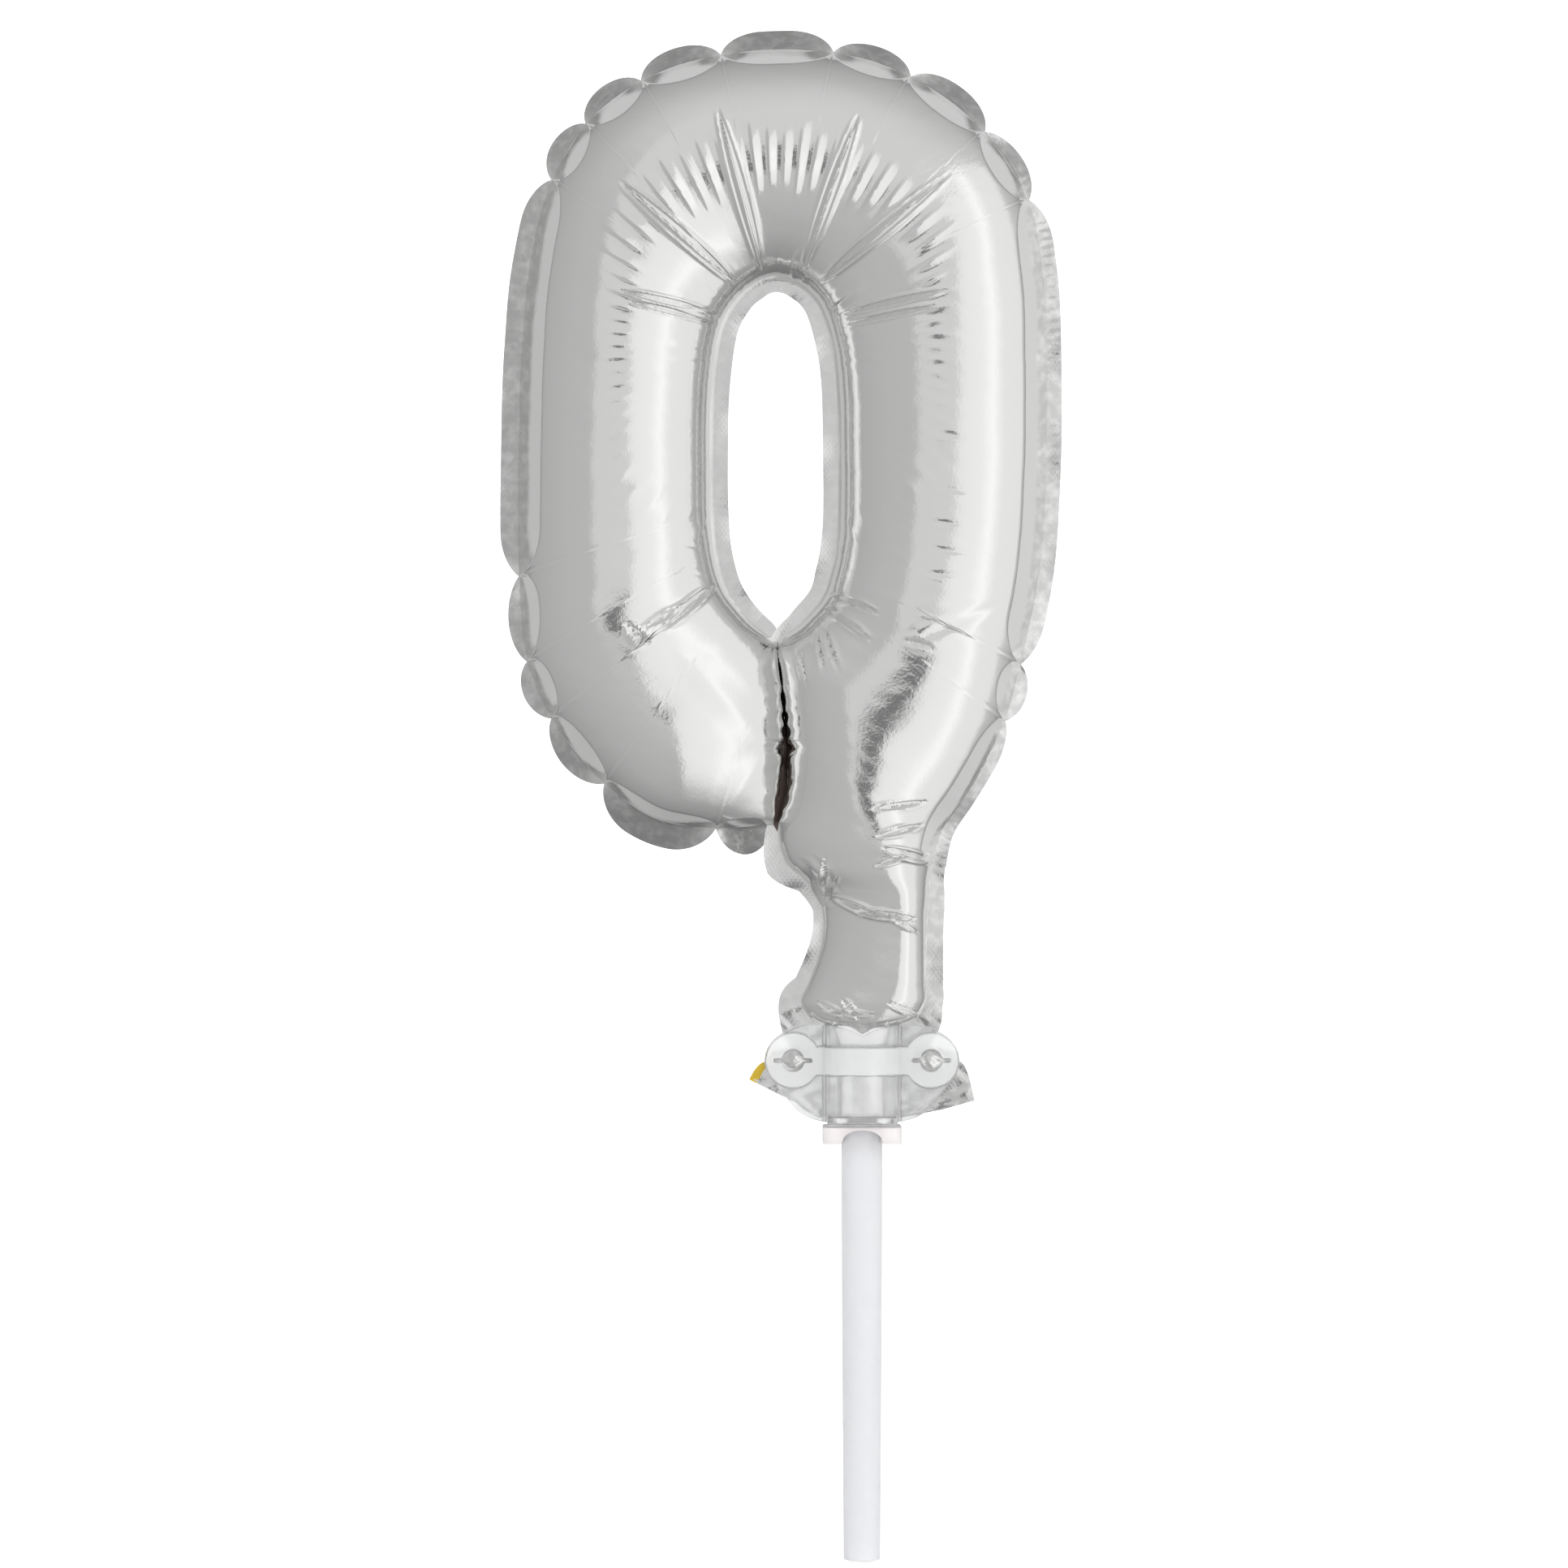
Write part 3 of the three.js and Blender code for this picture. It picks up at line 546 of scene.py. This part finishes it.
class Nodes:
    """Short calls for building a node tree."""

    def __init__(self, tree):
        self.tree = tree

    def link(self, value, socket):
        if isinstance(value, (int, float)):
            socket.default_value = value
        else:
            self.tree.links.new(value, socket)

    def math(self, operation, a, b=0.0):
        node = self.tree.nodes.new("ShaderNodeMath")
        node.operation = operation
        self.link(a, node.inputs[0])
        self.link(b, node.inputs[1])
        return node.outputs[0]

    def step(self, value, low, high, start=0.0, end=1.0):
        node = self.tree.nodes.new("ShaderNodeMapRange")
        node.interpolation_type = "SMOOTHSTEP"
        self.link(value, node.inputs["Value"])
        for name, number in (("From Min", low), ("From Max", high), ("To Min", start), ("To Max", end)):
            node.inputs[name].default_value = number
        return node.outputs["Result"]

    def place(self):
        return self.tree.nodes.new("ShaderNodeTexCoord").outputs["Object"]

    def noise(self, scale, detail=2.0, place=None):
        node = self.tree.nodes.new("ShaderNodeTexNoise")
        node.inputs["Scale"].default_value = scale
        node.inputs["Detail"].default_value = detail
        if place:
            self.link(place, node.inputs["Vector"])
        return node.outputs["Fac"]

    def colors(self, value, low, high, low_at=0.0, high_at=1.0):
        """A blend from one colour to another, where the value is between the two places."""
        node = self.tree.nodes.new("ShaderNodeValToRGB")
        for element, color, at in zip(node.color_ramp.elements, (low, high), (low_at, high_at)):
            element.position = at
            element.color = (*color, 1)
        self.link(value, node.inputs["Fac"])
        return node.outputs["Color"]

    def bump(self, shader, height, strength, distance):
        node = self.tree.nodes.new("ShaderNodeBump")
        node.inputs["Strength"].default_value = strength
        node.inputs["Distance"].default_value = distance
        self.link(height, node.inputs["Height"])
        self.link(node.outputs["Normal"], shader.inputs["Normal"])


def node_material(name):
    material = bpy.data.materials.new(name)
    material.use_nodes = True
    tree = material.node_tree
    return material, Nodes(tree), tree.nodes["Principled BSDF"]


# Sizes of the patterns in the surfaces, as noise scales, and how deep they are.
FOIL_GRAIN, FOIL_GRAIN_DEPTH = 2600, 0.1 * MM
SEAL_PATCHES, KNURL, KNURL_ANGLE, KNURL_DEPTH = 700, 700, 0.6, 0.03 * MM
PLASTIC_CLOUD, PLASTIC_GRAIN, PLASTIC_GRAIN_DEPTH = 420, 3500, 0.03 * MM


def foil_material():
    """Metallised film, almost a mirror, with a very fine satin grain."""
    material, nodes, shader = node_material("foil")
    shader.inputs["Base Color"].default_value = (0.9, 0.903, 0.893, 1)
    shader.inputs["Metallic"].default_value = 1.0
    shader.inputs["Roughness"].default_value = 0.1
    grain = nodes.noise(FOIL_GRAIN, 3, nodes.place())
    nodes.bump(shader, grain, 0.12, FOIL_GRAIN_DEPTH)
    return material


def seal_material(name, color, streak):
    """The sealed edge: in duller and brighter patches, with the fine knurl of the sealing tool."""
    material, nodes, shader = node_material(name)
    shader.inputs["Metallic"].default_value = 1.0
    shader.inputs["Roughness"].default_value = 0.15
    place = nodes.place()
    patches = nodes.noise(SEAL_PATCHES, 2, place)
    dull = [0.95 * c for c in color]
    bright = [min(0.98, streak * c) for c in color]
    nodes.link(nodes.colors(patches, dull, bright, 0.42, 0.68), shader.inputs["Base Color"])
    waves = []
    for turn in (KNURL_ANGLE, -KNURL_ANGLE):
        mapping = nodes.tree.nodes.new("ShaderNodeMapping")
        mapping.inputs["Rotation"].default_value = (0, turn, 0)
        wave = nodes.tree.nodes.new("ShaderNodeTexWave")
        wave.inputs["Scale"].default_value = KNURL
        wave.inputs["Distortion"].default_value = 1.0
        nodes.link(place, mapping.inputs["Vector"])
        nodes.link(mapping.outputs["Vector"], wave.inputs["Vector"])
        waves.append(wave.outputs["Fac"])
    nodes.bump(shader, nodes.math("MULTIPLY", *waves), 0.12, KNURL_DEPTH)
    return material


def blotched_material(name, metallic, roughness, scale, low, high):
    """A surface whose colour wanders between two colours."""
    material, nodes, shader = node_material(name)
    shader.inputs["Metallic"].default_value = metallic
    shader.inputs["Roughness"].default_value = roughness
    nodes.link(nodes.colors(nodes.noise(scale), low, high), shader.inputs["Base Color"])
    return material


def gold_material():
    """A strip of the roll's yellow edge print, left on one corner of the tail."""
    return blotched_material("foil_gold", 0.7, 0.3, 1500, (0.55, 0.33, 0.02), (0.95, 0.72, 0.1))


def slit_shade_material():
    """The inside of the slit, a colour wandering between near black and dull brown: painted shade, standing
    in for the shadow deep between the slit's walls.
    """
    return blotched_material("foil_slit_painted_shade", 0.6, 0.4, 900, (0.06, 0.045, 0.04), (0.28, 0.22, 0.2))


def plastic_material(name, color, haze, roughness, clarity):
    """Cloudy plastic: clear plastic with a share of milky haze, and a fine moulded grain."""
    material, nodes, shader = node_material(name)
    shader.inputs["Roughness"].default_value = roughness
    shader.inputs["Transmission Weight"].default_value = clarity
    shader.inputs["IOR"].default_value = 1.45
    place = nodes.place()
    cloud = nodes.noise(PLASTIC_CLOUD, 4, place)
    nodes.link(nodes.colors(cloud, haze, color, 0.3, 0.7), shader.inputs["Base Color"])
    nodes.bump(shader, nodes.noise(PLASTIC_GRAIN, place=place), 0.1, PLASTIC_GRAIN_DEPTH)
    return material


# --- Building --------------------------------------------------------------------------------

SLIT_STATIONS = (26, 30)  # the neck's side of the slit
WEB_STEP, WEB_POINTS = 4, 4  # every fourth row of the tube's end, and the points across the slit


def slit_grid(tube, inner_seam, first, last):
    """The web of film at the bottom of the slit, between the closed end and the neck."""
    left = tube[0, ::WEB_STEP]
    along = np.linspace(first, last, len(left)).round().astype(int)
    right = np.stack([inner_seam[along, 0], np.full(len(left), -FILM_GAP), inner_seam[along, 1]], axis=1)
    t = np.linspace(0, 1, WEB_POINTS)[None, :, None]
    return left[:, None, :] * (1 - t) + right[:, None, :] * t


# The yellow strip is the tail's left corner, outside a line that slopes up and down from the corner.
GOLD_CORNER_Z, GOLD_LOW, GOLD_HIGH = 59.1, 57.6, 62.6
GOLD_LINE_X, GOLD_SLOPE = -13.05, 0.66

BACK_PHASE = 2.0  # the back film's creases differ from the front's by this
# The order of a film's materials.
FOIL, RIM_SEAL, EYE_SEAL, SLIT_SHADE, GOLD = range(5)


def make_film(name, node, materials, back):
    """The front or the back film: its tube, both sealed edges and the web in the slit."""
    tube, edges, station_index = tube_grid()
    tube = creased(tube, BACK_PHASE if back else 0.0)
    grids = [(tube, FOIL)]
    for side, outwards, ruffle, material in (("inner", -1, 0.012, EYE_SEAL), ("outer", 1, 0.1, RIM_SEAL)):
        seam, width, share = edges[side]
        grids.append((edge_grid(seam, width, share, outwards, ruffle), material))
    web = slit_grid(tube, edges["inner"][0], *[station_index[k] for k in SLIT_STATIONS])
    # The web is coloured with the slit's painted shade, a dark colour where there is only shadow.
    grids.append((web, SLIT_SHADE))
    if back:
        tube[..., 1] *= -1
        web[..., 1] *= -1
        for points, _ in grids[1:3]:
            points[..., 1] += 2 * FILM_GAP  # the sealed edges of both films lie together
    film = grid_mesh(name, grids)
    for material in materials:
        film.data.materials.append(material)
    for face in film.data.polygons:
        x, _, z = face.center / MM
        if GOLD_LOW < z < GOLD_HIGH and x < GOLD_LINE_X + GOLD_SLOPE * abs(z - GOLD_CORNER_Z):
            face.material_index = GOLD
    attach(film, "topper")
    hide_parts(node)


def settle(piece):
    """Applies the piece's modifiers."""
    graph = bpy.context.evaluated_depsgraph_get()
    mesh = bpy.data.meshes.new_from_object(piece.evaluated_get(graph), depsgraph=graph)
    piece.modifiers.clear()
    piece.data = mesh
    mesh.polygons.foreach_set("use_smooth", [True] * len(mesh.polygons))


PAD_X, PAD_Z, PAD_RADIUS = 8.5, 61.5, 3.3
RIB_LOW, RIB_HIGH, COLLAR_TOP = 59.8, 63.1, 53.5
SOFT_VOXEL, SOFT_ROUNDS = 0.11 * MM, 4
# The order of the clip's materials.
CLEAR, CLOUDY, COLLAR = range(3)


def clip_zone(x, y, z):
    """The clip's material at a place: the pads and the rib are cloudy on their front."""
    if z < COLLAR_TOP:
        return COLLAR
    pad = math.hypot(abs(x) - PAD_X, z - PAD_Z) < PAD_RADIUS
    rib = RIB_LOW < z < RIB_HIGH and abs(x) < PAD_X
    return CLOUDY if (pad or rib) and y < 0 else CLEAR


def make_clip_half(name, node, body, materials):
    """One half of the clip with soft moulded edges, from the CAD part's own shape."""
    piece = bpy.data.objects.new(name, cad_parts[node].data.copy())
    bpy.context.scene.collection.objects.link(piece)
    remesh = piece.modifiers.new("soft", "REMESH")
    remesh.mode = "VOXEL"
    remesh.voxel_size = SOFT_VOXEL
    smooth = piece.modifiers.new("round", "SMOOTH")
    smooth.factor = 0.5
    smooth.iterations = SOFT_ROUNDS
    settle(piece)
    piece.data.materials.clear()
    for material in materials:
        piece.data.materials.append(material)
    for face in piece.data.polygons:
        face.material_index = clip_zone(*(face.center / MM))
    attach(piece, body)
    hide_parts(node)


NUB_RADIUS, NUB_HALF_LENGTH, NUB_HEIGHT, NUB_FOOT = 1.62, 2.75, 1.32, -0.55
NUB_RINGS, NUB_SIDES = 28, 48
NUB_MERGE = 0.002 * MM


def make_nub(name, x, z, phase, material):
    """The film pushed through a snap hole, a small crumpled lens with two pointed corners."""
    n, m = NUB_RINGS, NUB_SIDES
    r = np.linspace(0, 1, n)[:, None]
    a = np.linspace(0, 2 * np.pi, m + 1)[None, :-1]
    point = np.abs(np.cos(a)) ** 6
    reach_x = NUB_RADIUS + (NUB_HALF_LENGTH - NUB_RADIUS) * point
    px = x + r * reach_x * np.cos(a)
    pz = z + r * NUB_RADIUS * np.sin(a) * (1 - 0.75 * point)
    fold = 0.16 * np.sin(3.1 * px + 1.7 * np.sin(2.2 * pz + phase)) * np.sin(2.6 * pz + phase)
    height = (NUB_HEIGHT + fold) * (1 - r**3.2) * (1 - 0.4 * (r * point) ** 0.9)
    y = NUB_FOOT - height
    vertices = np.stack([px, y, pz], axis=2).reshape(-1, 3) * MM
    faces = []
    for i in range(n - 1):
        for j in range(m):
            k = (j + 1) % m
            faces.append((i * m + j, i * m + k, (i + 1) * m + k, (i + 1) * m + j))
    piece = closed_piece(name, vertices.tolist(), faces, merge=NUB_MERGE)
    piece.data.materials.append(material)
    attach(piece, "topper")
    return piece


VALVE_FOOT, VALVE_TOP = 56.0, 91.5
STICK_TOP = (66, 72)  # here the valve's films go from round the stick to nearly flat


def make_valve(name, node, material, back):
    """One of the two soft films of the self-closing valve, round the stick inside the neck."""
    z = np.linspace(VALVE_FOOT, VALVE_TOP, 60)[:, None]
    a = np.linspace(0, np.pi, 33)[None, :]
    above = smooth_step(z, *STICK_TOP)
    half, depth = 2.95 + 0.3 * above, 2.7 - 1.6 * above
    x = -half * np.cos(a) + 0.1 * above * np.sin(z / 2.1)
    y = -0.02 - depth * np.sin(a)
    points = np.stack([x, -y if back else y, z + 0 * x], axis=2)
    piece = grid_mesh(name, [(points, 0)])
    piece.data.materials.append(material)
    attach(piece, "topper")
    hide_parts(node)


STICK_SIDES = 96


def make_stick(material):
    """The hollow stick, a drawn tube with soft rims and a slight taper to its foot. Its rings are
    radius and height, up the outside and down the inside."""
    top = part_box("stick")[1][2] / MM
    rings = [(2.16, 0.0), (2.22, 0.05), (2.25, 0.15), (2.33, 12.0), (2.45, 30.0), (2.53, 48.0),
             (2.55, top - 0.15), (2.52, top - 0.04), (2.45, top)]
    rings += [(2.2, top), (2.13, top - 0.04), (2.1, top - 0.15), (2.08, 48.0), (2.0, 30.0),
              (1.88, 12.0), (1.8, 0.15), (1.83, 0.05), (1.9, 0.0)]
    vertices, faces = [], []
    for radius, z in rings:
        for j in range(STICK_SIDES):
            a = 2 * math.pi * j / STICK_SIDES
            vertices.append((radius * math.cos(a) * MM, radius * math.sin(a) * MM, z * MM))
    for i in range(len(rings)):
        for j in range(STICK_SIDES):
            k, below = (j + 1) % STICK_SIDES, (i + 1) % len(rings)
            corners = ((i, j), (i, k), (below, k), (below, j))
            faces.append(tuple(ring * STICK_SIDES + side for ring, side in corners))
    piece = closed_piece("stick_tube", vertices, faces)
    piece.data.materials.append(material)
    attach(piece, "stick")
    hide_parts("stick")


def set_material(node, material):
    """Gives a CAD node its material."""
    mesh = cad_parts[node].data
    mesh.materials.clear()
    mesh.materials.append(material)


# --- Stage -----------------------------------------------------------------------------------

FLOOR_Z, FLOOR_FRONT, FLOOR_HALF_WIDTH = -0.3 * MM, -1.6, 2.0
BACKDROP_Y, BACKDROP_TOP, BACKDROP_BEND, BEND_STEPS = 1.2, 1.6, 0.4, 12


def make_stage():
    """A pale floor that curves up into a backdrop."""
    bend_start = BACKDROP_Y - BACKDROP_BEND
    profile = [(FLOOR_FRONT, FLOOR_Z), (bend_start, FLOOR_Z)]
    for k in range(1, BEND_STEPS + 1):
        a = math.pi / 2 * k / BEND_STEPS
        y = bend_start + BACKDROP_BEND * math.sin(a)
        profile.append((y, FLOOR_Z + BACKDROP_BEND * (1 - math.cos(a))))
    profile.append((BACKDROP_Y, BACKDROP_TOP))
    vertices, faces = [], []
    for y, z in profile:
        vertices += [(-FLOOR_HALF_WIDTH, y, z), (FLOOR_HALF_WIDTH, y, z)]
    for k in range(len(profile) - 1):
        a = 2 * k
        faces.append((a, a + 1, a + 3, a + 2))
    mesh = bpy.data.meshes.new("floor")
    mesh.from_pydata(vertices, [], faces)
    floor = linked_piece("floor", mesh)
    material, _, shader = node_material("floor")
    shader.inputs["Base Color"].default_value = (0.9, 0.9, 0.9, 1)
    shader.inputs["Roughness"].default_value = 0.9
    shader.inputs["Emission Color"].default_value = (1.0, 1.0, 1.0, 1)
    shader.inputs["Emission Strength"].default_value = 0.52
    mesh.materials.append(material)
    floor.visible_glossy = False


LIGHT_SIZE = 0.9


def area_light(name, place, power):
    """A square softbox that points at the middle of the picture. The foil doesn't mirror it: what
    the foil mirrors is the world."""
    target = (CAMERA_X, 0, CAMERA_Z)
    data = bpy.data.lights.new(name, "AREA")
    data.shape = "RECTANGLE"
    data.size, data.size_y = LIGHT_SIZE, LIGHT_SIZE
    data.energy = power
    light = bpy.data.objects.new(name, data)
    light.location = place
    light.rotation_euler = (Vector(target) - Vector(place)).to_track_quat("-Z", "Y").to_euler()
    light.visible_glossy = False
    bpy.context.scene.collection.objects.link(light)


# The studio seen in the foil, as screen tones, by the angle in degrees from straight ahead.
SKY_UP = [(0, 205), (15, 205), (31, 201), (45, 195), (60, 186), (75, 177), (95, 167), (115, 155),
          (128, 138), (131, 194), (180, 198)]
SKY_LEFT = [(0, 203), (15, 203), (19, 180), (45, 178), (90, 169), (110, 165), (122, 150), (128, 140),
            (131, 184), (180, 190)]
SKY_DOWN = [(0, 203), (10, 200), (20, 184), (30, 179), (56, 166), (81, 147), (105, 126), (118, 118),
            (128, 112), (131, 165), (180, 175)]
SKY_RIGHT = [(0, 203), (20, 206), (60, 206), (90, 200), (110, 178), (122, 155), (128, 145),
             (131, 209), (180, 200)]
# The tall softbox on the right, by the angle round to the right.
SOFTBOX = [(0, 205), (8, 225), (15, 231), (28, 235), (35, 244), (40, 250), (46, 238), (53, 228), (90, 225)]
SOFTBOX_RIGHT = ((5, 10), (80, 92))  # where it fades in and out, to the right
SOFTBOX_FOOT = (-66, -30)  # where it fades in, upwards
SOFTBOX_HEAD = (33, 39)  # where it fades out, by the angle round the view axis
# A small dark patch a little below straight ahead, which the foil shows as its dark dashes and
# bands: its tone, and where it fades in and out.
GAP_TONE = 105
GAP_RIGHT = ((-9, -2), (4, 7))
GAP_UP = ((-14, -11), (-7, -4))
FOIL_GLOSS = 0.9  # how much of the studio the foil gives back


def linear(tone):
    """The light that shows in the foil as this screen tone."""
    c = tone / 255
    return (c / 12.92 if c <= 0.04045 else ((c + 0.055) / 1.055) ** 2.4) / FOIL_GLOSS


def tone_ramp(nodes, value, stops, span):
    """The tone at a value from 0 to span, by stops of value and tone."""
    node = nodes.tree.nodes.new("ShaderNodeValToRGB")
    elements = node.color_ramp.elements
    while len(elements) > 1:
        elements.remove(elements[-1])
    for k, (place, tone) in enumerate(stops):
        element = elements[0] if k == 0 else elements.new(place / span)
        element.position = place / span
        level = linear(tone)
        element.color = (level, level, level, 1)
    nodes.link(nodes.math("DIVIDE", value, span), node.inputs["Fac"])
    return nodes.math("ADD", node.outputs["Color"], 0.0)


def blend(nodes, under, over, share):
    """Two tones mixed, with this share of the one on top."""
    rest = nodes.math("MULTIPLY", under, nodes.math("SUBTRACT", 1.0, share))
    return nodes.math("ADD", rest, nodes.math("MULTIPLY", over, share))


def make_world():
    """The studio that the foil mirrors: broad tones each way, the softbox and the dark patch."""
    world = bpy.data.worlds.new("studio")
    bpy.context.scene.world = world
    world.use_nodes = True
    tree = world.node_tree
    nodes = Nodes(tree)
    place = tree.nodes.new("ShaderNodeTexCoord")
    split = tree.nodes.new("ShaderNodeSeparateXYZ")
    tree.links.new(place.outputs["Generated"], split.inputs[0])
    right, back, up = split.outputs
    ahead = nodes.math("MULTIPLY", back, -1.0)
    degrees = 180 / math.pi
    off_axis = nodes.math("MULTIPLY", nodes.math("ARCCOSINE", ahead), degrees)
    round_right = nodes.math("MULTIPLY", nodes.math("ARCTAN2", right, ahead), degrees)
    above = nodes.math("MULTIPLY", nodes.math("ARCSINE", up), degrees)
    radial = nodes.math("ADD", nodes.math("MULTIPLY", right, right), nodes.math("MULTIPLY", up, up))
    radial = nodes.math("MAXIMUM", radial, 1e-6)
    level = 0.0
    for axis, sign, stops in (
        (up, 1.0, SKY_UP), (up, -1.0, SKY_DOWN), (right, 1.0, SKY_RIGHT), (right, -1.0, SKY_LEFT)
    ):
        part = nodes.math("MAXIMUM", nodes.math("MULTIPLY", axis, sign), 0.0)
        weight = nodes.math("DIVIDE", nodes.math("MULTIPLY", part, part), radial)
        part = nodes.math("MULTIPLY", weight, tone_ramp(nodes, off_axis, stops, 180))
        level = nodes.math("ADD", part, level)
    gap = 1.0
    for value, (fade_in, fade_out) in ((round_right, GAP_RIGHT), (above, GAP_UP)):
        gap = nodes.math("MULTIPLY", gap, nodes.step(value, *fade_in))
        gap = nodes.math("MULTIPLY", gap, nodes.step(value, *fade_out, 1.0, 0.0))
    level = blend(nodes, level, linear(GAP_TONE), gap)
    box = tone_ramp(nodes, round_right, SOFTBOX, 90)
    mask = nodes.step(round_right, *SOFTBOX_RIGHT[0])
    turn = nodes.math("MULTIPLY", nodes.math("ARCTAN2", up, right), degrees)
    for value, edge, ends in (
        (round_right, SOFTBOX_RIGHT[1], (1.0, 0.0)),
        (above, SOFTBOX_FOOT, (0.0, 1.0)),
        (turn, SOFTBOX_HEAD, (1.0, 0.0)),
    ):
        mask = nodes.math("MULTIPLY", mask, nodes.step(value, *edge, *ends))
    level = blend(nodes, level, box, mask)
    background = tree.nodes["Background"]
    tree.links.new(level, background.inputs["Color"])


# --- The scene -------------------------------------------------------------------------------

make_camera()
make_world()
make_stage()
bpy.context.scene.view_settings.view_transform = "Standard"
area_light("key_softbox", (0.9, -0.9, 0.6), 5.5)
area_light("fill_softbox", (-0.9, -0.8, 0.5), 3.6)

foils = [
    foil_material(),
    # The rim seal is the same sealed film as the eye seal, in a darker colour: painted shade for the rim's
    # dimmer look.
    seal_material("foil_rim_seal_painted_shade", (0.72, 0.723, 0.715), 1.2),
    seal_material("foil_eye_seal", (0.86, 0.863, 0.855), 1.02),
    slit_shade_material(),
    # The slit's dark colour is painted shade.
    gold_material(),
]
nub_left = make_nub("foil_nub_left", -PAD_X, PAD_Z, 0.3, foils[FOIL])
nub_right = make_nub("foil_nub_right", PAD_X, PAD_Z, 1.9, foils[FOIL])
make_film("front_film", "front_foil", foils, back=False)
make_film("back_film", "back_foil", foils, back=True)
clear = plastic_material("clear_plastic", (0.95, 0.955, 0.955), (0.9, 0.905, 0.905), 0.24, 0.86)
cloudy = plastic_material("cloudy_plastic", (0.97, 0.975, 0.975), (0.93, 0.935, 0.935), 0.35, 0.5)
collar = plastic_material("collar_plastic", (0.97, 0.95, 0.95), (0.95, 0.9, 0.9), 0.4, 0.45)
film_clear = plastic_material("valve_film", (0.95, 0.95, 0.95), (0.9, 0.9, 0.9), 0.3, 0.9)
frosted = plastic_material("frosted_plastic", (0.97, 0.975, 0.99), (0.93, 0.935, 0.96), 0.35, 0.45)
make_clip_half("clip_back_half", "clip_back", "topper", [clear, cloudy, collar])
make_clip_half("clip_front_half", "clip_front", "clip_flap", [clear, cloudy, collar])
set_material("living_hinge", clear)
make_valve("valve_front_sheet", "valve_front_film", film_clear, back=False)
make_valve("valve_back_sheet", "valve_back_film", film_clear, back=True)
make_stick(frosted)
